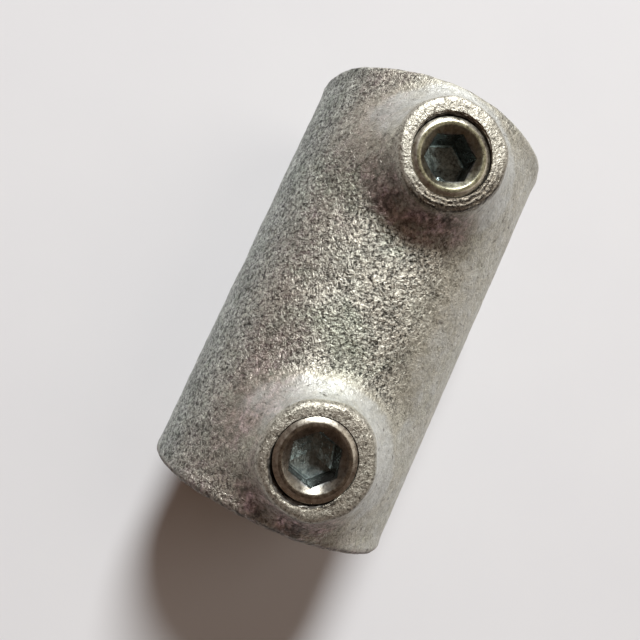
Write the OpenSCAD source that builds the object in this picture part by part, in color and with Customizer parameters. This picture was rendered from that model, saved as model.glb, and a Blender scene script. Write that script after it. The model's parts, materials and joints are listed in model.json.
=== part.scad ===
// Straight sleeve fitting that joins two round tubes end to end.
// One cast sleeve holds two hex-socket set screws in line along its top, and a
// steel pin across the middle of the bore that both tube ends stop against.
// +X runs along the bore and +Z up through the set screws. The origin is on the
// surface that the sleeve lies on, below the middle of the bore. Millimetres.

/* [Tube] */
// Outside diameter of the tubes that the sleeve joins
tube_d = 48.3; // [47.5:0.1:48.5]
// Gap all round between a tube and the wall of its socket
tube_gap = 0.45; // [0.2:0.05:0.5]

/* [Sleeve] */
// Outside diameter of the barrel
barrel_d = 59; // [58:0.5:62]
// Length of the barrel, end face to end face
barrel_len = 100; // [94:1:120]
// Radius that rounds the outer edge of each end
rim_round = 1.1; // [0.5:0.1:2.5]
// Chamfer at the mouth of the bore
mouth_chamfer = 0.8; // [0.3:0.1:1.2]
// Width of the shallow relief at the middle of the bore
relief_w = 12; // [8:1:20]
// Depth of that relief below the socket walls
relief_depth = 0.4; // [0.2:0.1:0.8]

/* [Bosses] */
// Distance between the two set screws, along the bore
screw_pitch_x = 65.5; // [60:0.5:70]
// Outside diameter of a boss at its top face
boss_d = 23.2; // [22:0.2:25]
// Height of the boss face above the top of the barrel
boss_h = 7.3; // [5:0.1:9]
// Chamfer round the boss's top edge
boss_chamfer = 0.7; // [0.3:0.1:1.2]
// Height over which the foot of a boss flares out
flare_h = 12; // [9:0.5:13]
// Extra radius of the flare at its foot
flare_r = 6; // [3:0.5:6.5]

/* [Set screws] */
// Outside diameter of a set screw
screw_d = 16.66; // [12:0.01:17]
// Length of a set screw
screw_len = 11.6; // [8:0.1:11.8]
// Gap all round between a screw and its hole
screw_gap = 0.05; // [0.02:0.01:0.1]
// Width across the flats of the hex socket
socket_af = 9.5; // [6:0.1:10]
// Depth of the hex socket
socket_depth = 7.5; // [4:0.1:8]
// Diameter of the chamfer at the mouth of the socket
socket_mouth_d = 12.8; // [11.5:0.1:13.4]
// Chamfer round both ends of a screw
screw_chamfer = 0.8; // [0.3:0.1:1.2]
// Height of the left screw's end above its boss face
left_proud = 0.4; // [0:0.1:1]
// Depth of the right screw's end below its boss face
right_sunk = 0.3; // [0:0.1:0.6]
// Turn of the left screw's socket about its own axis, in degrees
left_turn = 14; // [0:1:60]
// Turn of the right screw's socket about its own axis, in degrees
right_turn = 55; // [0:1:60]

/* [Stop pin] */
// Diameter of the pin across the middle of the bore
pin_d = 6; // [4:0.5:8]
// Depth of each pin end below the outside of the barrel
pin_inset = 0.3; // [0.2:0.1:1]

/* [Hidden] */
$fn = 96;

barrel_r = barrel_d / 2;
axis_z = barrel_r;
socket_r = tube_d / 2 + tube_gap;
relief_r = socket_r + relief_depth;
boss_r = boss_d / 2;
boss_top = axis_z + barrel_r + boss_h;
flare_top = barrel_r + 0.6 * boss_h;
screw_x = screw_pitch_x / 2;
screw_r = screw_d / 2;
screw_hole_r = screw_r + screw_gap;
hole_chamfer = 0.4;
cup_r = 5.6;
cup_depth = 1.4;
pin_r = pin_d / 2;
pin_len = barrel_d - 2 * pin_inset;
eps = 0.01;      // hair's breadth that a cut runs past a face
past = 1;        // length that a drilled hole runs past a wall
cast_zinc = [0.62, 0.62, 0.58];
screw_steel = [0.46, 0.43, 0.38];
pin_steel = [0.55, 0.54, 0.52];

// Puts a shape that was drawn along Z onto the axis of the bore
module along_bore() {
    translate([0, 0, axis_z]) rotate([0, 90, 0]) children();
}

// Region outside a quarter circle, which rounds a square corner at the origin
module corner_cut(r) {
    difference() {
        square([r + eps, r + eps]);
        circle(r);
    }
}

// Barrel with its outer end edges rounded
module barrel() {
    along_bore() rotate_extrude() difference() {
        translate([0, -barrel_len / 2]) square([barrel_r, barrel_len]);
        for (end = [-1, 1])
            translate([barrel_r - rim_round, end * (barrel_len / 2 - rim_round)])
                scale([1, end]) corner_cut(rim_round);
    }
}

// One set screw boss: a chamfered cylinder on a flared foot
module boss() {
    translate([0, 0, axis_z]) {
        cylinder(h = barrel_r + boss_h - boss_chamfer, r = boss_r);
        translate([0, 0, barrel_r + boss_h - boss_chamfer])
            cylinder(h = boss_chamfer, r1 = boss_r, r2 = boss_r - boss_chamfer);
        translate([0, 0, flare_top - flare_h])
            cylinder(h = flare_h, r1 = boss_r + flare_r, r2 = boss_r);
    }
}

// Space that the two tubes, the relief and the mouth chamfers take up
module bore() {
    along_bore() {
        cylinder(h = barrel_len + 2 * past, r = socket_r, center = true);
        cylinder(h = relief_w, r = relief_r, center = true);
        for (end = [0, 1])
            mirror([0, 0, end]) translate([0, 0, barrel_len / 2 - mouth_chamfer])
                cylinder(h = mouth_chamfer + eps, r1 = socket_r,
                         r2 = socket_r + mouth_chamfer + eps);
    }
}

// Hole for one set screw, from inside the bore to the boss face
module screw_hole() {
    translate([0, 0, axis_z]) cylinder(h = barrel_r + boss_h + past, r = screw_hole_r);
    translate([0, 0, boss_top - hole_chamfer])
        cylinder(h = hole_chamfer + eps, r1 = screw_hole_r,
                 r2 = screw_hole_r + hole_chamfer + eps);
}

module body_casting() {
    color(cast_zinc) difference() {
        union() {
            barrel();
            for (side = [-1, 1]) translate([side * screw_x, 0, 0]) boss();
        }
        bore();
        for (side = [-1, 1]) translate([side * screw_x, 0, 0]) screw_hole();
        translate([0, 0, axis_z]) rotate([90, 0, 0])
            cylinder(h = barrel_d + 2 * past, r = pin_r, center = true);
    }
}

// Set screw with its outer end at z = 0, its cup point down, and the socket turned
module set_screw(turn) {
    difference() {
        union() {
            translate([0, 0, screw_chamfer - screw_len])
                cylinder(h = screw_len - 2 * screw_chamfer, r = screw_r);
            translate([0, 0, -screw_chamfer])
                cylinder(h = screw_chamfer, r1 = screw_r, r2 = screw_r - screw_chamfer);
            translate([0, 0, -screw_len])
                cylinder(h = screw_chamfer, r1 = screw_r - screw_chamfer, r2 = screw_r);
        }
        rotate([0, 0, turn]) translate([0, 0, -socket_depth])
            cylinder(h = socket_depth + past, d = socket_af / cos(30), $fn = 6);
        translate([0, 0, (socket_af - socket_mouth_d) / 2])
            cylinder(h = (socket_mouth_d - socket_af) / 2 + eps, d1 = socket_af,
                     d2 = socket_mouth_d + 2 * eps);
        translate([0, 0, -screw_len - eps])
            cylinder(h = cup_depth + eps, r1 = cup_r, r2 = cup_r - cup_depth);
    }
}

module left_set_screw() {
    color(screw_steel) translate([-screw_x, 0, boss_top + left_proud]) set_screw(left_turn);
}

module right_set_screw() {
    color(screw_steel) translate([screw_x, 0, boss_top - right_sunk]) set_screw(right_turn);
}

// Plain pin pressed through both walls, its ends just below the barrel's outside
module centre_stop_pin() {
    color(pin_steel) translate([0, 0, axis_z]) rotate([90, 0, 0])
        cylinder(h = pin_len, r = pin_r, center = true);
}

body_casting();
left_set_screw();
right_set_screw();
centre_stop_pin();
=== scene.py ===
"""Looks of a galvanised straight tube coupling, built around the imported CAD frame.

The casting is one skin: distance fields for the barrel and its bosses are blended
with fillets, meshed, roughened like a sand casting and then bored and tapped.
Lengths are in millimetres and are scaled to metres as a mesh is made. Lamps are placed in metres.
"""
import itertools
import json
import math

import bpy
import numpy as np
import openvdb
from mathutils import Matrix, Vector


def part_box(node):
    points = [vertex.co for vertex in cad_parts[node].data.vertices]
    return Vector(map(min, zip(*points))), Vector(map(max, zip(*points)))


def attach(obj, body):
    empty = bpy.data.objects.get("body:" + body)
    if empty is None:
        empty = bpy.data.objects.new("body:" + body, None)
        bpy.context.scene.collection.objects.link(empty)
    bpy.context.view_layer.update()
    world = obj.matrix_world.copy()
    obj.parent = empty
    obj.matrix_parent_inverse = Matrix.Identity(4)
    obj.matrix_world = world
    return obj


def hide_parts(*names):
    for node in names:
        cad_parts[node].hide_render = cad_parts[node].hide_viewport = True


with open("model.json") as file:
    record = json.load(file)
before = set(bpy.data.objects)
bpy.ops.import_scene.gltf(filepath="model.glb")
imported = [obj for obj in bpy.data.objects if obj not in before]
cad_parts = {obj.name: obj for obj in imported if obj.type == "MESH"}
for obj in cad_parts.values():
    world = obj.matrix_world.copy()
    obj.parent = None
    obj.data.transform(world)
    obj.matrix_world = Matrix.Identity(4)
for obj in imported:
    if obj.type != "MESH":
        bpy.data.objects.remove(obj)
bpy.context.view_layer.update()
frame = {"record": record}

MM = 0.001
SEED = 11

# ---------------------------------------------------------------- sizes, from the frame
casting_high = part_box("body_casting")[1] / MM
BARREL_R = casting_high.y
AXIS_Z = BARREL_R
HALF_LEN = casting_high.x
BOSS_TOP = casting_high.z - AXIS_Z
socket_mount = next(m for m in frame["record"]["mounts"] if m["name"] == "left_tube_socket")
SOCKET_R = socket_mount["dims"]["r_mm"]
SOCKET_LEN = socket_mount["dims"]["length_mm"]


def screw_place(node):
    """Centre along the bore, outer radius, outer end and inner end of a set screw."""
    low, high = (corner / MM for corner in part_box(node))
    return {"x": (low.x + high.x) / 2, "r": (high.y - low.y) / 2, "top": high.z, "bottom": low.z}


LEFT = screw_place("left_set_screw")
RIGHT = screw_place("right_set_screw")
pin_low, pin_high = (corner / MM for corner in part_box("centre_stop_pin"))
PIN_R = (pin_high.x - pin_low.x) / 2
PIN_HALF_LEN = pin_high.y

# ---------------------------------------------------------------- the casting, in millimetres
VOXEL = 0.67            # spacing of the casting's mesh
BOSS_R = 11.6           # radius of the raised ring at a boss's top
BOSS_EDGE = 0.85        # rounding of the ring's edge
RING_H = 1.1            # height of the ring's wall above the flare
RING_FILLET = 1.0       # fillet where the ring meets the flare
FLARE_TOP = BOSS_TOP - RING_H
FLARE_EDGE = 0.6        # rounding of the flare's top edge
FLARE_SLOPE = 0.5       # how much wider a boss's flare gets for each millimetre down
FLARE_DEPTH = 9.0       # depth of a flare's underside below the crown of the barrel
FOOT_FILLET = 5.0       # fillet where a flare meets the barrel
RIM_ROUND = 1.1         # rounding of the barrel's ends
SKIN_DEPTH = 1.5        # depth below the barrel's surface that still counts as outside
# How far each boss is shifted off its screw's axis, along and across the barrel
CAST_SHIFT = {"left": (0.0, -0.7), "right": (0.7, 0.0)}
RING_WOBBLE = ((0.16, 3, 1.0), (0.12, 5, 2.1), (0.08, 9, 0.4))   # size, lobes and phase
BORE_MOUTH = 1.6        # length over which the bore's mouth widens, and the most it widens by
BORE_ROUGHNESS = 0.09   # height of the swells in the bore's wall
RELIEF_DEPTH = 0.4      # depth of the relief at the middle of the bore
HOLE_R = LEFT["r"] + 0.05   # to the crests of the hole's thread, just clear of the screw
HOLE_CHAMFER = 0.12     # how much wider the hole's ragged edge is at the boss face
# How far a hole's mouth has worn, towards which side, and how fast that narrows with depth
MOUTH_WEAR = {"left": (1.45, 160, 0.75), "right": (0.80, 28, 0.7)}
WEAR_STEP = 0.42        # height of the steps that the worn thread leaves in a hole's mouth
MOUTH_DEPTH = 2.2       # depth of the hole's mouth, which is cut in finer levels
MOUTH_LEVEL = 0.12      # height of one of those levels

# Arcs round a boss's axis, as the middle and the half width in degrees
HOLLOW_SHADE_ARC = {"left": (178, 58), "right": (170, 72)}      # painted shade in the hollow beside the boss
CHEWED_ARC = {"left": (170, 80), "right": (212, 80)}    # damaged edge of the hole
SHADE_SIDE_ARC = (160, 88)    # side of a boss away from the window, where the pale zinc is held back as painted shade
CREASE_SHADE_ARC = (185, 100)  # painted shade in the crease below the ring, on the side away from the window
CHEWED_REACH = {"left": 1.5, "right": 4.0}   # how far the damage reaches past the hole
SHADE_SIDE_REACH = 22         # how far that painted shade reaches from a boss's axis
HOLLOW_SHADE_FROM = 10.8        # where the painted shade beside a boss starts and ends, from its axis
HOLLOW_SHADE_TO = 17.9

# ---------------------------------------------------------------- screws, in millimetres
PITCH = 1.337           # thread pitch of the set screws
THREAD_DEPTH = 0.72
SOCKET_AF = 9.5         # hex socket, across flats
SOCKET_MOUTH_R = 6.5
SOCKET_DEPTH = 7.5
SOCKET_REACH = 5.6      # radius that takes in the whole hexagon
FLOOR_DIP = 1.3         # depth below the socket that takes in its dished floor
SCREW_FACE_R = LEFT["r"] - 1.02   # outer radius of the flat part of a screw's end
LEFT_TURN = math.radians(14)
RIGHT_TURN = math.radians(55)


# ---------------------------------------------------------------- noise and falloffs
NOISE_GAIN = 1.6        # brings gradient noise to about -1 to 1
LAYER_SUM = 1.6         # brings layered noise to about -1 to 1


def hashed(cells, seed):
    """A number from -1 to 1 for each whole-number cell, the same on every run. The large
    numbers in it only scramble the bits."""
    n = (cells[:, 0] * 73856093) ^ (cells[:, 1] * 19349663) ^ (cells[:, 2] * 83492791)
    n = (n ^ (seed * 668265263)) & 0xFFFFFFFF
    n = ((n ^ (n >> 15)) * 2246822519) & 0xFFFFFFFF
    n = ((n ^ (n >> 13)) * 3266489917) & 0xFFFFFFFF
    return ((n ^ (n >> 16)) & 0xFFFFFF) / float(0x7FFFFF) - 1.0


def noise(points, cell, seed):
    """Smooth gradient noise, about -1 to 1, with features about as wide as the cell."""
    q = points / cell
    base = np.floor(q).astype(np.int64)
    f = q - base
    w = f * f * f * (f * (f * 6 - 15) + 10)
    total = np.zeros(len(points))
    for corner in itertools.product((0, 1), repeat=3):
        cells = base + np.array(corner)
        weight = np.prod(np.where(corner, w, 1 - w), axis=1)
        away = f - np.array(corner)
        slope = sum(hashed(cells, seed + 17 * axis) * away[:, axis] for axis in range(3))
        total += weight * slope
    return total * NOISE_GAIN


def layered(points, cell, seed, octaves=3):
    """Noise with finer, weaker layers on top."""
    return sum(noise(points, cell / 2**k, seed + k) / 2**k for k in range(octaves)) / LAYER_SUM


def rise(value, start, width):
    """From 0 at the start to 1 a width further up."""
    return np.clip((value - start) / width, 0, 1)


def fall(value, end, width):
    """From 1 a width below the end to 0 at the end."""
    return np.clip((end - value) / width, 0, 1)


def bell(value, middle, width):
    """From 1 at the middle towards 0 on both sides."""
    return np.exp(-(((value - middle) / width) ** 2))


# ---------------------------------------------------------------- the casting as a distance field
def fillet_union(a, b, r):
    """Distance to two solids joined, with a fillet of radius r in the corner between them."""
    return np.maximum(r, np.minimum(a, b)) - np.hypot(np.maximum(r - a, 0), np.maximum(r - b, 0))


def rounded_cut(a, b, r):
    """Distance to what two solids share, with the edge between them rounded to radius r."""
    return np.minimum(-r, np.maximum(a, b)) + np.hypot(np.maximum(r + a, 0), np.maximum(r + b, 0))


def above_barrel(p):
    """Height above the barrel's plain round surface."""
    return np.hypot(p[:, 1], p[:, 2]) - BARREL_R


def boss_distances(p, screw, shift):
    """Distances to a boss's raised ring and to the flare that it stands on."""
    along, across = p[:, 0] - screw["x"] - shift[0], p[:, 1] - shift[1]
    out = np.hypot(along, across)
    turn = np.arctan2(across, along)
    for size, lobes, phase in RING_WOBBLE:
        out = out + size * np.sin(lobes * turn + phase + screw["x"])
    ring = rounded_cut(out - BOSS_R, p[:, 2] - BOSS_TOP, BOSS_EDGE)
    cone = out - BOSS_R - FLARE_SLOPE * (FLARE_TOP - p[:, 2])
    flare = rounded_cut(cone / math.hypot(1, FLARE_SLOPE), p[:, 2] - FLARE_TOP, FLARE_EDGE)
    return np.maximum(ring, -p[:, 2]), np.maximum(flare, BARREL_R - FLARE_DEPTH - p[:, 2])


def casting_distance(p):
    """Distance to the whole casting before it is bored, in a frame centred on the bore."""
    solid = above_barrel(p)
    rings = []
    for screw, side in ((LEFT, "left"), (RIGHT, "right")):
        ring, flare = boss_distances(p, screw, CAST_SHIFT[side])
        solid = fillet_union(solid, flare, FOOT_FILLET)
        rings.append(ring)
    for ring in rings:
        solid = fillet_union(solid, ring, RING_FILLET)
    return rounded_cut(solid, np.abs(p[:, 0]) - HALF_LEN, RIM_ROUND)


def slope_of(p):
    """Direction in which the casting's distance grows fastest, and how fast it does."""
    step = 0.05
    growth = [casting_distance(p + d) - casting_distance(p - d) for d in step * np.eye(3)]
    return np.stack(growth, axis=1) / (2 * step)


def casting_skin():
    """Points and quads of the casting's outer skin, drawn onto the true surface."""
    far = 10.0           # distance given to the space outside the grid
    passes = 3
    least_slope = 0.3    # keeps a point's moves short in sharp corners
    margin = 3 * VOXEL
    low = np.array([-HALF_LEN, -BARREL_R, -BARREL_R]) - margin
    high = np.array([HALF_LEN, BARREL_R, BOSS_TOP]) + margin
    axes = [np.arange(low[k], high[k], VOXEL) for k in range(3)]
    grid_points = np.stack(np.meshgrid(*axes, indexing="ij"), axis=-1)
    shape = grid_points.shape[:3]
    distance = casting_distance(grid_points.reshape(-1, 3)).reshape(shape)
    grid = openvdb.FloatGrid(far)
    grid.copyFromArray(distance.astype(np.float32))
    points, quads = grid.convertToQuads(0.0)
    points = low + points.astype(float) * VOXEL
    for _ in range(passes):
        slope = slope_of(points)
        reach = casting_distance(points) / np.maximum((slope**2).sum(1), least_slope)
        points -= slope * reach[:, None]
    return points, quads


def arc_share(p, screw, heading, half_width):
    """Distance from a boss's axis, and how near a direction is to the middle of an arc.
    The arc is in degrees. The share is 1 in its middle half and falls to 0 at its ends."""
    across, along = p[:, 1], p[:, 0] - screw["x"]
    turn = np.angle(np.exp(1j * (np.arctan2(across, along) - math.radians(heading))))
    share = np.clip(1.3 - 1.3 * (turn / math.radians(half_width)) ** 2, 0, 1)
    return np.hypot(across, along), share


def pooled(p):
    """Where molten zinc lies thick and smooth, from 0 to 1: on flares and down one side. It is held
    back on the side of each boss away from the window, as painted shade.
    """
    lift = above_barrel(p)
    below_ring = fall(p[:, 2], FLARE_TOP + 0.2, 0.6)
    flares = rise(lift, 0.25, 1.6) * below_ring
    # Less pale zinc on the side of each boss away from the window: painted shade.
    for screw in (LEFT, RIGHT):
        out, share = arc_share(p, screw, *SHADE_SIDE_ARC)
        flares *= 1 - 0.75 * share * (out < SHADE_SIDE_REACH)
    drained = np.clip((-p[:, 1] - 7) / 9 + 0.5 * noise(p, 14.0, SEED + 41), 0, 1)
    outside = rise(lift, -SKIN_DEPTH, 0.5) * below_ring
    return np.maximum(flares, 0.75 * drained * outside)


def browned_and_shaded(p):
    """Where the zinc is darkened to brown, from 0 to 1: along one flank, and as painted shade beside
    the bosses, near the left end and on its rim."""
    # Darker and browner along one flank, towards the left end.
    flank = bell(p[:, 0], -28, 19) * bell(p[:, 1], 15, 6)
    shade = np.maximum(0.7 * flank, 0.3 * bell(p[:, 1], 18, 6))
    # Painted shade near the left end and on its rim, which face away from the window.
    end = rise(-p[:, 0], HALF_LEN - 6.0, 3.5) * bell(p[:, 1], 1, 13)
    rim = rise(-p[:, 0], HALF_LEN - 1.3, 0.8)
    shade = np.maximum(shade, np.maximum(0.9 * end, 0.9 * rim))
    # Painted shade in the hollow beside each boss, on the side away from the window.
    for screw, side in ((LEFT, "left"), (RIGHT, "right")):
        out, share = arc_share(p, screw, *HOLLOW_SHADE_ARC[side])
        beside = rise(out, HOLLOW_SHADE_FROM, 1.0) * fall(out, HOLLOW_SHADE_TO + noise(p, 7.0, SEED + 53), 1.7)
        shade = np.maximum(shade, share * beside)
    outside = above_barrel(p) > -SKIN_DEPTH
    below_ring = fall(p[:, 2], FLARE_TOP + 0.4, 0.6)
    return shade * below_ring * outside * np.clip(0.88 + 0.7 * layered(p, 5.0, SEED + 51), 0, 1)


def ring_marks(p):
    """How far a point is from the nearer boss's axis, whether it lies on the boss's raised
    ring, and one mask for the torn edge of the hole and for painted shade in the crease below the
    ring and on the left end's rim."""
    radius = np.full(len(p), np.inf)
    chewed = np.zeros(len(p))
    crease_shade = np.zeros(len(p))
    for screw, side in ((LEFT, "left"), (RIGHT, "right")):
        out, share = arc_share(p, screw, *CHEWED_ARC[side])
        share = share * fall(out, HOLE_R + CHEWED_REACH[side], 0.7)
        nearer = out < radius
        radius = np.where(nearer, out, radius)
        chewed = np.where(nearer, share, chewed)
        # Painted shade in the crease at the foot of each ring, on the side away from the window.
        out, share = arc_share(p, screw, *CREASE_SHADE_ARC)
        crease_shade = np.maximum(crease_shade, share * bell(out, BOSS_R + 0.7, 0.6))
    on_ring = fall(radius, BOSS_R + 1.6, 0.8) * (p[:, 2] > FLARE_TOP - 0.3)
    crease_shade *= bell(p[:, 2], FLARE_TOP - 0.1, 0.7)
    # Painted shade on the left end's rim, which faces away from the window.
    rim = rise(-p[:, 0], HALF_LEN - 1.0, 0.6) * (above_barrel(p) > -SKIN_DEPTH)
    return radius, on_ring, np.maximum(np.maximum(chewed * on_ring, 0.95 * crease_shade), 0.95 * rim)


def cast_relief(p):
    """Height of the sand-cast, dipped surface above the true one. Each layer is a height
    times a noise, whose second value is the width of its features."""
    swell = 0.16 * layered(p, 17.0, SEED)
    peel = 0.11 * layered(p, 4.2, SEED + 5)
    grit = 0.05 * noise(p, 1.7, SEED + 9)
    near_end = rise(np.abs(p[:, 0]), HALF_LEN - 4.0, 4.0)
    rim = near_end * (0.30 + 0.22 * layered(p, 6.0, SEED + 13))
    seam = bell(p[:, 2], 0, 0.9) * (0.10 + 0.05 * noise(p, 14.0, SEED + 15))
    _, _, chewed = ring_marks(p)
    chips = chewed * (0.12 * layered(p, 1.5, SEED + 17) - 0.10)
    return (swell + peel + grit) * (1 - 0.5 * pooled(p)) + rim + seam + chips


# ---------------------------------------------------------------- meshes
def new_piece(name, points, faces):
    """An object whose points are in millimetres in the row frame."""
    mesh = bpy.data.meshes.new(name)
    mesh.from_pydata((np.asarray(points) * MM).tolist(), [], [list(map(int, f)) for f in faces])
    mesh.validate()
    piece = bpy.data.objects.new(name, mesh)
    bpy.context.scene.collection.objects.link(piece)
    return piece


def skinned(name, rings):
    """A closed piece through rings of equally many points, capped at both ends."""
    count = len(rings[0])
    points = np.concatenate([*rings, [rings[0].mean(0)], [rings[-1].mean(0)]])
    faces = []
    for k, j in itertools.product(range(len(rings) - 1), range(count)):
        a, b = k * count + j, k * count + (j + 1) % count
        faces.append((a, b, b + count, a + count))
    start, end = len(points) - 2, len(points) - 1
    last = (len(rings) - 1) * count
    for j in range(count):
        faces.append((start, (j + 1) % count, j))
        faces.append((end, last + j, last + (j + 1) % count))
    return new_piece(name, points, faces)


def outward(piece):
    """Turns a closed piece's faces outward."""
    mesh = piece.data
    mesh.calc_loop_triangles()
    co = np.array([v.co for v in mesh.vertices])
    tri = np.array([t.vertices for t in mesh.loop_triangles])
    a, b, c = co[tri[:, 0]], co[tri[:, 1]], co[tri[:, 2]]
    if np.einsum("ij,ij->i", a, np.cross(b, c)).sum() < 0:
        mesh.flip_normals()
    return piece


def store(piece, name, values):
    """Keeps one number for each point, which a material can read."""
    attribute = piece.data.attributes.new(name, "FLOAT", "POINT")
    attribute.data.foreach_set("value", values)


def smooth(piece, angle):
    """Shades a piece smooth, with edges sharper than the angle kept crisp."""
    piece.data.shade_smooth()
    piece.data.set_sharp_from_angle(angle=math.radians(angle))
    return piece


def cut(piece, cutter):
    """Takes the cutter's solid out of the piece, and throws the cutter away."""
    modifier = piece.modifiers.new("cut", "BOOLEAN")
    modifier.operation = "DIFFERENCE"
    modifier.solver = "MANIFOLD"
    modifier.object = cutter
    view = bpy.context.evaluated_depsgraph_get()
    result = bpy.data.meshes.new_from_object(piece.evaluated_get(view))
    piece.modifiers.clear()
    piece.data = result
    bpy.data.objects.remove(cutter)


def thread_profile(z, theta):
    """How deep a right-hand thread's groove is at a height and angle, from 0 to 1."""
    phase = np.mod(z / PITCH - theta / (2 * math.pi), 1.0)
    groove = 1 - np.abs(2 * phase - 1)
    return np.clip(1.25 * groove - 0.12, 0, 1)


# ---------------------------------------------------------------- the casting
def bore_cutter():
    """The two tube sockets, the relief between them and the rounded mouths."""
    theta = np.linspace(0, 2 * math.pi, 168, endpoint=False)
    mouth = HALF_LEN - BORE_MOUTH
    relief_half = abs(socket_mount["pos_m"][0]) / MM - SOCKET_LEN
    stations = [-HALF_LEN - 3, *np.linspace(-HALF_LEN - 0.4, -mouth, 6)]
    stations += [*np.linspace(-mouth + 1.2, -relief_half - 0.5, 24), -relief_half]
    stations += [*np.linspace(-relief_half + 0.5, 0, 5)]
    stations += [-x for x in reversed(stations[:-1])]
    rings = []
    for x in stations:
        flare = max(0.0, abs(x) - mouth)
        radius = SOCKET_R + (RELIEF_DEPTH if abs(x) < relief_half else 0.0)
        radius += min(BORE_MOUTH, 0.36 * flare**1.7)
        ring = np.stack([np.full_like(theta, x), np.cos(theta), np.sin(theta)], axis=1)
        ring[:, 1:] *= radius
        ring[:, 1:] *= 1 + BORE_ROUGHNESS / radius * layered(ring, 5.0, SEED + 21)[:, None]
        rings.append(ring + [0, 0, AXIS_Z])
    return outward(skinned("bore_cutter", rings))


def tapped_hole_cutter(screw, wear):
    """One threaded hole, its mouth a little ragged and more worn on one side."""
    theta = np.linspace(0, 2 * math.pi, 150, endpoint=False)
    face = AXIS_Z + BOSS_TOP
    inside_bore = AXIS_Z + SOCKET_R - 2.5
    noise_r = 9          # radius of the circle along which the edge's noise is read
    width, heading, narrowing = wear
    worn = width * np.maximum(0, np.cos(theta - math.radians(heading))) ** 1.3
    thread_levels = np.arange(inside_bore, face - MOUTH_DEPTH, PITCH / 8)
    mouth_levels = np.arange(face - MOUTH_DEPTH + 0.1, face - 0.03, MOUTH_LEVEL)
    rings = []
    for z in [*thread_levels, *mouth_levels, face, face + 0.5, face + 1.6]:
        run_out = np.clip((face - z - 0.25) / 0.7, 0, 1)
        thread = HOLE_R + THREAD_DEPTH * run_out * thread_profile(z, theta)
        step = round(max(0.0, face - z) / WEAR_STEP)
        sunk = HOLE_R + HOLE_CHAMFER + worn - narrowing * WEAR_STEP * step
        # Each step has a slice of the noise to itself, so it breaks off in its own way
        noise_slice = np.full_like(theta, screw["x"] + 5 * step)
        edge = np.stack([np.cos(theta) * noise_r, np.sin(theta) * noise_r, noise_slice], axis=1)
        ragged = (0.10 + 0.28 * worn) * layered(edge, 1.3, SEED + 31)
        radius = np.maximum(thread if z < face else 0, sunk + ragged)
        radius = np.maximum(radius, HOLE_R)
        ring = [screw["x"] + radius * np.cos(theta), radius * np.sin(theta), np.full_like(theta, z)]
        rings.append(np.stack(ring, axis=1))
    return outward(skinned("hole_cutter", rings))


def pin_hole_cutter():
    """Plain hole for the stop pin, across the barrel."""
    theta = np.linspace(0, 2 * math.pi, 48, endpoint=False)
    ring = (PIN_R + 0.03) * np.stack([np.cos(theta), 0 * theta, np.sin(theta)], axis=1)
    ends = np.linspace(-BARREL_R - 2, BARREL_R + 2, 5)
    return outward(skinned("pin_cutter", [ring + [0, y, AXIS_Z] for y in ends]))


def mark_zinc(piece):
    """Stores for the material where zinc has pooled or browned, where shade is painted, and the
    rings and one flank.
    """
    place = np.empty(len(piece.data.vertices) * 3)
    piece.data.vertices.foreach_get("co", place)
    place = place.reshape(-1, 3) / MM - [0, 0, AXIS_Z]
    radius, on_ring, chewed = ring_marks(place)
    store(piece, "zinc_pool", pooled(place))
    store(piece, "tarnish", browned_and_shaded(place))
    store(piece, "axis_distance", radius)
    store(piece, "on_ring", on_ring)
    store(piece, "chewed", chewed)
    store(piece, "flank", rise(place[:, 1], 18, 9))


def make_casting():
    """The finished casting: a roughened skin, bored, tapped twice and drilled for the pin."""
    points, quads = casting_skin()
    slope = slope_of(points)
    slope /= np.linalg.norm(slope, axis=1)[:, None]
    points = points + slope * cast_relief(points)[:, None]
    piece = outward(new_piece("casting", points + [0, 0, AXIS_Z], quads))
    cut(piece, bore_cutter())
    cut(piece, tapped_hole_cutter(LEFT, MOUTH_WEAR["left"]))
    cut(piece, tapped_hole_cutter(RIGHT, MOUTH_WEAR["right"]))
    cut(piece, pin_hole_cutter())
    mark_zinc(piece)
    return smooth(piece, 40)


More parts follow.
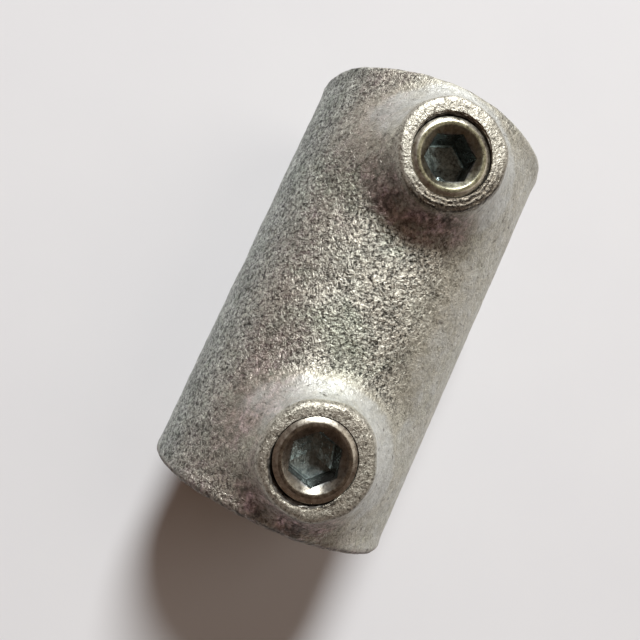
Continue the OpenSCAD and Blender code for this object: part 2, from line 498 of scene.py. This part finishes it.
# ---------------------------------------------------------------- screws and pin
def screw_rings(length, turn):
    """Rings of a set screw from its socket floor, over the face and down to its cup point."""
    theta = turn + np.linspace(0, 2 * math.pi, 120, endpoint=False)
    off_flat = np.mod(theta - turn, math.pi / 3) - math.pi / 6
    hexagon = SOCKET_AF / 2 / np.cos(off_flat)
    mouth_z = -(SOCKET_MOUTH_R - hexagon) * 0.62
    crest = LEFT["r"] - 0.02
    face_r = SCREW_FACE_R
    rings = []

    def ring(radius, z):
        """Adds a ring. Radius and height are one number, or one for each angle."""
        radius = np.broadcast_to(radius, theta.shape)
        z = np.broadcast_to(z, theta.shape)
        rings.append(np.stack([radius * np.cos(theta), radius * np.sin(theta), z], axis=1))

    # Dished floor of the socket, as shares of the hexagon and depths below the socket
    for share, depth in ((0.05, 1.25), (0.30, 0.96), (0.60, 0.605), (0.90, 0.25), (0.965, 0.02)):
        ring(hexagon * share, -SOCKET_DEPTH - depth)
    ring(hexagon * 0.98, -SOCKET_DEPTH)
    # Walls of the hexagon
    wall_foot = -SOCKET_DEPTH + 0.25
    wall_top = mouth_z - 0.10
    for share in (0, 0.25, 0.5, 0.75, 1):
        ring(hexagon, wall_foot + share * (wall_top - wall_foot))
    # Round mouth and flat face
    ring(hexagon + 0.07, mouth_z + 0.03)
    for share in (0.35, 0.7):
        ring(hexagon + share * (SOCKET_MOUTH_R - hexagon), mouth_z * (1 - share))
    ring(SOCKET_MOUTH_R - 0.10, -0.07)
    ring(SOCKET_MOUTH_R + 0.06, -0.01)
    ring((SOCKET_MOUTH_R + face_r) / 2, 0.0)
    ring(face_r - 0.12, -0.005)
    ring(face_r, -0.04)
    # Thread, chamfered at both ends
    for z in np.arange(-0.12, -length + 0.1, -PITCH / 10):
        thread = crest - THREAD_DEPTH * thread_profile(z, theta) * np.clip((-z - 0.5) / 0.35, 0, 1)
        chamfer = face_r + 0.04 + np.minimum(-z * 1.9, (length + z) * 0.95)
        ring(np.minimum(thread, chamfer), z)
    # Cup point
    ring(face_r - 0.1, -length + 0.02)
    ring(face_r - 0.8, -length)
    ring(5.75, -length)
    ring(5.55, -length + 0.12)
    ring(4.4, -length + 1.3)
    ring(2.0, -length + 1.4)
    return rings


def make_screw(name, screw, turn):
    """A set screw in its hole, with its socket turned about its axis."""
    rings = screw_rings(screw["top"] - screw["bottom"], turn)
    piece = skinned(name, [r + [screw["x"], 0, screw["top"]] for r in rings])
    points = np.concatenate([*rings, [rings[0].mean(0)], [rings[-1].mean(0)]])
    out = np.hypot(points[:, 0], points[:, 1])
    depth = -points[:, 2]
    above_cup = depth < SOCKET_DEPTH + FLOOR_DIP
    # The mouth's cone is half darkened and the walls below take the socket's dark colour: blackened
    # steel and painted shade.
    in_mouth = 0.45 * (out < SOCKET_MOUTH_R - 0.05) * (depth > 0.05)
    deep = rise(depth, 0.6, 0.3) * (out < SOCKET_REACH)
    at_floor = (depth > SOCKET_DEPTH - 0.1) * (out < SOCKET_REACH)
    store(piece, "in_socket", np.maximum(in_mouth, deep) * above_cup)
    store(piece, "socket_floor", at_floor * above_cup)
    store(piece, "worn_edge", (out > SCREW_FACE_R - 0.05) * (depth < 0.75))
    return smooth(outward(piece), 20)


def make_pin():
    """Pin pressed through both walls, with chamfered, lightly hammered ends."""
    theta = np.linspace(0, 2 * math.pi, 64, endpoint=False)
    circle = np.stack([np.cos(theta), 0 * theta, np.sin(theta)], axis=1)
    # Distance from the pin's end, and share of its radius
    end = [(0.0, 0.30), (0.02, 0.62), (0.05, 0.80), (0.14, 0.92), (0.34, 0.985), (0.7, 1.0)]
    near = [(-PIN_HALF_LEN + depth, share) for depth, share in end]
    body = [(y, 1.0) for y in np.linspace(-PIN_HALF_LEN + 2, PIN_HALF_LEN - 2, 24)]
    stations = near + body + [(-y, share) for y, share in reversed(near)]
    rings = [PIN_R * share * circle + [0, y, AXIS_Z] for y, share in stations]
    return smooth(outward(skinned("stop_pin", rings)), 40)


# ---------------------------------------------------------------- materials
class Nodes:
    """Wires a material's nodes. A value can be a number, a colour or another node's output."""

    def __init__(self, name):
        self.material = bpy.data.materials.new(name)
        self.material.use_nodes = True
        self.tree = self.material.node_tree
        self.shader = self.tree.nodes["Principled BSDF"]
        where = self.tree.nodes.new("ShaderNodeTexCoord").outputs["Object"]
        self.place = self.vector("SCALE", where, scale=1 / MM)

    def link(self, value, socket):
        """Joins an output to a socket, or sets the socket to a plain value."""
        if isinstance(value, bpy.types.NodeSocket):
            self.tree.links.new(value, socket)
        else:
            socket.default_value = value

    def vector(self, operation, a, b=None, scale=None):
        node = self.tree.nodes.new("ShaderNodeVectorMath")
        node.operation = operation
        self.link(a, node.inputs[0])
        if b is not None:
            self.link(b, node.inputs[1])
        if scale is not None:
            node.inputs["Scale"].default_value = scale
        return node.outputs["Vector"]

    def math(self, operation, a, b=0.5, c=0.5):
        node = self.tree.nodes.new("ShaderNodeMath")
        node.operation = operation
        for value, socket in zip((a, b, c), node.inputs):
            self.link(value, socket)
        return node.outputs["Value"]

    def attribute(self, name):
        """The number that store() kept under this name."""
        node = self.tree.nodes.new("ShaderNodeAttribute")
        node.attribute_name = name
        return node.outputs["Fac"]

    def noise(self, size, detail=2.0, rough=0.5, warp=0.0, offset=0.0):
        """Noise with features about size millimetres wide. Detail and rough set its finer
        layers, warp twists it, and each offset shows another part of the pattern."""
        node = self.tree.nodes.new("ShaderNodeTexNoise")
        place = self.place
        if offset:
            place = self.vector("ADD", place, (offset, -offset, offset / 2))
        self.link(place, node.inputs["Vector"])
        node.inputs["Scale"].default_value = 1 / size
        node.inputs["Detail"].default_value = detail
        node.inputs["Roughness"].default_value = rough
        node.inputs["Distortion"].default_value = warp
        return node.outputs["Fac"]

    def ramp(self, value, *stops):
        """Colour ramp through (position, colour) stops. A number stands for a grey."""
        node = self.tree.nodes.new("ShaderNodeValToRGB")
        self.link(value, node.inputs["Fac"])
        ramp = node.color_ramp
        for k, (position, colour) in enumerate(stops):
            stop = ramp.elements[k] if k < 2 else ramp.elements.new(position)
            stop.position = position
            rgb = (colour,) * 3 if isinstance(colour, (int, float)) else colour
            stop.color = (*rgb, 1)
        return node.outputs["Color"]

    def mix(self, share, a, b, blend="MIX"):
        """Colour a with a share of colour b blended over it."""
        node = self.tree.nodes.new("ShaderNodeMix")
        node.data_type = "RGBA"
        node.blend_type = blend
        for value, socket in ((share, node.inputs[0]), (a, node.inputs[6]), (b, node.inputs[7])):
            if isinstance(value, tuple):
                value = (*value, 1)
            self.link(value, socket)
        return node.outputs[2]

    def bump(self, height, distance, strength=1.0, over=None):
        """Bump of a height field, distance in millimetres."""
        node = self.tree.nodes.new("ShaderNodeBump")
        self.link(strength, node.inputs["Strength"])
        node.inputs["Distance"].default_value = distance * MM
        self.link(height, node.inputs["Height"])
        if over is not None:
            self.link(over, node.inputs["Normal"])
        return node.outputs["Normal"]

    def finish(self, **sockets):
        """Feeds the shader's sockets, their names with underscores, and returns the material."""
        for name, value in sockets.items():
            if isinstance(value, tuple):
                value = (*value, 1)
            self.link(value, self.shader.inputs[name.replace("_", " ")])
        return self.material


def mottled_zinc(n, grain):
    """Thin zinc: a granular grey, warm on the whole and cooler on one flank."""
    warm = n.ramp(n.noise(16, 3, 0.6, 0.6), (0.34, (0.41, 0.43, 0.355)),
                  (0.50, (0.475, 0.465, 0.405)), (0.66, (0.485, 0.46, 0.395)))
    cool = n.ramp(n.noise(2.6, 4, 0.65, 0.5, 41.0), (0.36, (0.27, 0.305, 0.275)),
                  (0.62, (0.45, 0.475, 0.46)))
    tint = n.mix(n.math("MULTIPLY", n.attribute("flank"), 0.8), warm, cool)
    patches = n.ramp(n.noise(6.0, 4, 0.65, 0.4, 3.0), (0.34, 0.74), (0.62, 1.12))
    grains = n.ramp(grain, (0.35, 0.28), (0.45, 0.88), (0.66, 1.45))
    specks = n.ramp(n.noise(0.62, 3, 0.62, 1.0, 31.0), (0.40, 0.12), (0.465, 0.95), (0.60, 1.30))
    grains = n.mix(1.0, grains, specks, "MULTIPLY")
    return n.mix(1.0, n.mix(1.0, tint, patches, "MULTIPLY"), grains, "MULTIPLY")


def pale_zinc(n, patchy):
    """Zinc that has drained to one side, and the paler skin where it lies thick."""
    drained = n.ramp(n.noise(3.0, 5, 0.7, 0.6, 9.0), (0.34, (0.36, 0.335, 0.255)),
                     (0.50, (0.57, 0.545, 0.445)), (0.64, (0.72, 0.70, 0.60)))
    thick = n.ramp(n.noise(2.2, 4, 0.7, 0.4, 9.0), (0.32, (0.48, 0.485, 0.45)),
                   (0.62, (0.70, 0.715, 0.685)))
    return n.mix(n.ramp(patchy, (0.55, 0.0), (1.0, 1.0)), drained, thick)


def brown_zinc_and_shade(n):
    """Brown and mauve zinc in blots, laid both as browned zinc and as painted shade."""
    dull = n.ramp(n.noise(1.1, 4, 0.7, 0.6, 23.0), (0.36, (0.085, 0.066, 0.06)),
                  (0.50, (0.30, 0.25, 0.24)), (0.66, (0.59, 0.51, 0.49)))
    blots = n.ramp(n.noise(3.4, 3, 0.6, 0.8, 43.0), (0.40, (0.50, 0.475, 0.44)),
                   (0.52, (1.14, 1.05, 1.0)), (0.64, (1.40, 1.25, 1.34)))
    return n.mix(1.0, dull, blots, "MULTIPLY")


def galvanised_casting():
    """Hot-dip zinc over a sand casting: granular and mottled, smoother where it pooled."""
    n = Nodes("galvanised_casting")
    pool = n.attribute("zinc_pool")
    ring = n.attribute("on_ring")
    chewed = n.attribute("chewed")
    grain = n.noise(0.95, 3, 0.66, 0.6, 7.0)

    patchy = n.math("ADD", pool, n.math("MULTIPLY_ADD", n.noise(3.6, 4, 0.65, 0.5, 37.0), 1.0, -0.5))
    thickness = n.ramp(patchy, (0.05, 0.0), (0.85, 0.82))
    zinc = n.mix(thickness, mottled_zinc(n, grain), pale_zinc(n, patchy))
    # Browned zinc along one flank, and painted shade beside the bosses and at the left end.
    zinc = n.mix(n.attribute("tarnish"), zinc, brown_zinc_and_shade(n))
    ring_zinc = n.ramp(n.noise(0.55, 4, 0.75, 0.6, 27.0), (0.37, (0.08, 0.07, 0.055)),
                       (0.47, (0.44, 0.42, 0.355)), (0.66, (0.72, 0.69, 0.61)))
    zinc = n.mix(n.math("MULTIPLY", ring, 0.8), zinc, ring_zinc)

    # Concentric grooves, wandering and broken off, where the edge of a hole is damaged. The same
    # mask lays dark, grooved painted shade in the crease below each ring and on the left end's rim.
    wander = n.math("MULTIPLY", n.noise(2.6, 4, 0.7, 0.0, 29.0), 11.0)
    grooves = n.math("SINE", n.math("MULTIPLY_ADD", n.attribute("axis_distance"), 6.5, wander))
    torn = n.ramp(n.noise(0.85, 4, 0.75, 0.5, 33.0), (0.40, 0.0), (0.53, 1.0))
    torn_and_shaded = n.math("MULTIPLY", chewed, torn)
    scored = n.math("MULTIPLY", torn_and_shaded, n.ramp(grooves, (0.0, 0.0), (0.6, 1.0)))
    crumbled = n.ramp(n.noise(0.7, 4, 0.75, 0.4, 35.0), (0.38, (0.05, 0.04, 0.032)),
                      (0.50, (0.15, 0.125, 0.095)), (0.64, (0.42, 0.37, 0.29)))
    # Dark crumbled zinc where a hole's edge is torn, and painted shade in the creases and on the
    # rim.
    zinc = n.mix(n.math("MULTIPLY", chewed, 0.78), zinc, crumbled)
    zinc = n.mix(scored, zinc, (0.03, 0.025, 0.02))
    pits = n.ramp(n.noise(1.5, 4, 0.7, 0.5, 11.0), (0.33, 1.0), (0.40, 0.0))
    colour = n.mix(n.math("MULTIPLY", pits, 0.8), zinc, (0.10, 0.09, 0.07))
    metal = n.math("MULTIPLY_ADD", pool, -0.32, 0.82)
    rough = n.ramp(n.noise(1.3, 3, 0.6, 0.0, 19.0), (0.3, 0.36), (0.7, 0.58))

    calm = n.math("MAXIMUM", pool, n.math("MULTIPLY", ring, 1.1))
    surface = n.bump(n.noise(0.42, 3, 0.6, 0.2, 5.0), 0.15, 0.8)
    grain_strength = n.math("MULTIPLY_ADD", calm, -0.5, 0.85)
    surface = n.bump(grain, 0.55, grain_strength, over=surface)
    wrinkle_strength = n.math("MULTIPLY_ADD", calm, -0.4, 0.85)
    surface = n.bump(n.noise(2.4, 3, 0.6, 1.6, 2.0), 0.55, wrinkle_strength, over=surface)
    surface = n.bump(grooves, 0.08, torn_and_shaded, over=surface)
    return n.finish(Base_Color=colour, Metallic=metal, Roughness=rough, Normal=surface)


def tapped_thread():
    """Thread cut into the casting: darker bare iron with an oily sheen."""
    n = Nodes("tapped_thread")
    colour = n.ramp(n.noise(0.8, 4, 0.6), (0.3, (0.05, 0.045, 0.04)), (0.7, (0.20, 0.19, 0.17)))
    rough = n.ramp(n.noise(0.5, 2, 0.5), (0.3, 0.35), (0.7, 0.6))
    return n.finish(Base_Color=colour, Metallic=0.8, Roughness=rough,
                    Normal=n.bump(n.noise(0.3, 3, 0.6), 0.05, 0.5))


def screw_steel(name, offset, dark, middle, light, floor):
    """Dulled plated steel, stained, with an oily socket whose floor holds swarf of the floor colour.
    The socket's dark colour, on its mouth's cone and down its walls, is blackened steel and painted
    shade in the recess. A piece without a socket is only stained."""
    n = Nodes(name)
    socket = n.attribute("in_socket")
    at_floor = n.attribute("socket_floor")
    stain = n.ramp(n.noise(2.6, 4, 0.65, 0.6, offset), (0.32, dark), (0.52, middle), (0.72, light))
    grain = n.ramp(n.noise(0.35, 3, 0.6, 0.0, offset + 4), (0.3, 0.70), (0.7, 1.25))
    plated = n.mix(1.0, stain, grain, "MULTIPLY")
    bare = n.ramp(n.noise(1.2, 4, 0.65, 0.4, offset + 2), (0.34, (0.30, 0.27, 0.22)),
                  (0.60, (0.66, 0.63, 0.55)))
    plated = n.mix(n.math("MULTIPLY", n.attribute("worn_edge"), 0.85), plated, bare)
    # Dark socket colour: blackened steel, darkened further as painted shade.
    black = n.ramp(n.noise(0.9, 4, 0.7, 0.3, offset + 6), (0.35, (0.05, 0.055, 0.052)),
                   (0.65, (0.26, 0.27, 0.26)))
    crumbs = n.noise(0.9, 4, 0.7, 0.4, offset + 8)
    swarf = n.ramp(crumbs, (0.36, (0.13, 0.17, 0.165)), (0.60, floor))
    colour = n.mix(at_floor, n.mix(socket, plated, black), swarf)
    metal = n.math("MULTIPLY_ADD", at_floor, -0.45, 0.95)
    rough = n.ramp(n.noise(0.9, 3, 0.6, 0.0, offset + 9), (0.3, 0.22), (0.7, 0.42))
    rough = n.mix(at_floor, rough, (0.15, 0.15, 0.15))
    surface = n.bump(n.noise(0.28, 3, 0.6, 0.0, offset), 0.03, 0.5)
    loose = n.noise(1.0, 4, 0.65, 0.4, offset + 8)
    surface = n.bump(loose, 0.30, n.math("MULTIPLY", at_floor, 0.6), over=surface)
    return n.finish(Base_Color=colour, Metallic=metal, Roughness=rough, Normal=surface)


def paper():
    """The white sheet that the coupling lies on."""
    n = Nodes("paper")
    colour = n.ramp(n.noise(60, 3, 0.5), (0.3, (0.765, 0.768, 0.79)), (0.7, (0.785, 0.788, 0.805)))
    return n.finish(Base_Color=colour, Roughness=0.9, Normal=n.bump(n.noise(0.6, 3, 0.6), 0.02, 0.3))


def paint_threads(piece, material):
    """Gives the faces inside the two tapped holes their own material."""
    piece.data.materials.append(material)
    count = len(piece.data.polygons)
    centre = np.empty(count * 3)
    piece.data.polygons.foreach_get("center", centre)
    centre = centre.reshape(-1, 3) / MM
    index = np.zeros(count, np.int32)
    for screw in (LEFT, RIGHT):
        near = np.hypot(centre[:, 0] - screw["x"], centre[:, 1]) < HOLE_R + THREAD_DEPTH + 0.4
        inside = (centre[:, 2] > AXIS_Z + SOCKET_R - 1) & (centre[:, 2] < AXIS_Z + BOSS_TOP - 0.55)
        index[near & inside] = 1
    piece.data.polygons.foreach_set("material_index", index)


# ---------------------------------------------------------------- build
casting = make_casting()
casting.data.materials.clear()   # cutting leaves an empty slot behind
casting.data.materials.append(galvanised_casting())
paint_threads(casting, tapped_thread())
left_screw = make_screw("left_screw", LEFT, LEFT_TURN)
left_screw.data.materials.append(
    screw_steel("left_screw_steel", offset=2.0, dark=(0.12, 0.10, 0.08), middle=(0.27, 0.235, 0.18),
                light=(0.42, 0.38, 0.32), floor=(0.34, 0.40, 0.39)))
right_screw = make_screw("right_screw", RIGHT, RIGHT_TURN)
right_screw.data.materials.append(
    screw_steel("right_screw_steel", offset=8.0, dark=(0.12, 0.11, 0.07), middle=(0.285, 0.27, 0.18),
                light=(0.41, 0.39, 0.28), floor=(0.50, 0.66, 0.66)))
stop_pin = make_pin()
stop_pin.data.materials.append(
    screw_steel("pin_steel", offset=15.0, dark=(0.16, 0.14, 0.11), middle=(0.34, 0.31, 0.25),
                light=(0.50, 0.47, 0.40), floor=(0.40, 0.40, 0.40)))

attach(casting, "sleeve")
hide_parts("body_casting")
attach(left_screw, "left_screw")
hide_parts("left_set_screw")
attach(right_screw, "right_screw")
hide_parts("right_set_screw")
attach(stop_pin, "sleeve")
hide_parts("centre_stop_pin")


# ---------------------------------------------------------------- stage, light and camera
def make_floor():
    """Flat sheet, a little lower than the frame's floor so that the cast skin clears it."""
    half = 1500
    drop = 0.3
    corners = [(-half, -half, 0), (half, -half, 0), (half, half, 0), (-half, half, 0)]
    floor = new_piece("floor", corners, [(0, 1, 2, 3)])
    floor.location.z = -drop * MM
    floor.data.materials.append(paper())


def area_light(name, place, aim, size, watts, colour):
    """Round lamp at a place, turned to its aim, with its size in metres."""
    light = bpy.data.lights.new(name, "AREA")
    light.shape = "DISK"
    light.size = size
    light.energy = watts
    light.color = colour
    lamp = bpy.data.objects.new(name, light)
    lamp.location = Vector(place)
    lamp.rotation_euler = (Vector(place) - Vector(aim)).to_track_quat("Z", "Y").to_euler()
    bpy.context.scene.collection.objects.link(lamp)


def make_world():
    """Dim warm fill, behind a pale backdrop that only the camera sees."""
    world = bpy.data.worlds.new("studio")
    world.use_nodes = True
    nodes = world.node_tree.nodes
    links = world.node_tree.links
    fill = nodes["Background"]
    fill.inputs["Color"].default_value = (1.0, 0.60, 0.41, 1)
    fill.inputs["Strength"].default_value = 0.102
    backdrop = nodes.new("ShaderNodeBackground")
    backdrop.inputs["Color"].default_value = (0.72, 0.72, 0.74, 1)
    mix = nodes.new("ShaderNodeMixShader")
    links.new(nodes.new("ShaderNodeLightPath").outputs["Is Camera Ray"], mix.inputs[0])
    links.new(fill.outputs[0], mix.inputs[1])
    links.new(backdrop.outputs[0], mix.inputs[2])
    links.new(mix.outputs[0], nodes["World Output"].inputs["Surface"])
    bpy.context.scene.world = world


def make_lights():
    """A strong, cool window and a weak, warm light from the room."""
    aim = (0, 0, AXIS_Z * MM)
    area_light("window", (2.58, 0.43, 2.13), aim, 1.0, 146.0, (0.985, 1.0, 1.0))
    area_light("room", (0.60, -0.85, 1.10), aim, 1.1, 3.3, (1.0, 0.95, 0.87))


def make_camera():
    """Camera close above the coupling, turned so that the bore runs up the frame."""
    middle = Vector((0, 0, AXIS_Z))
    place = middle + Vector((-17.0, 24.0, 148.8))
    target = middle + Vector((-5.2, 6.0, 0))
    heading = math.radians(24.8)
    back = (place - target).normalized()
    right = Vector((math.cos(heading), math.sin(heading), 0)).cross(back).normalized()
    up = back.cross(right)
    data = bpy.data.cameras.new("camera")
    data.sensor_width = 36
    data.lens = 33.24
    data.clip_start = 0.01
    camera = bpy.data.objects.new("camera", data)
    turn = Matrix((right, up, back)).transposed().to_4x4()
    camera.matrix_world = Matrix.Translation(place * MM) @ turn
    bpy.context.scene.collection.objects.link(camera)
    bpy.context.scene.camera = camera


make_floor()
make_world()
make_lights()
make_camera()
bpy.context.scene.view_settings.view_transform = "Standard"
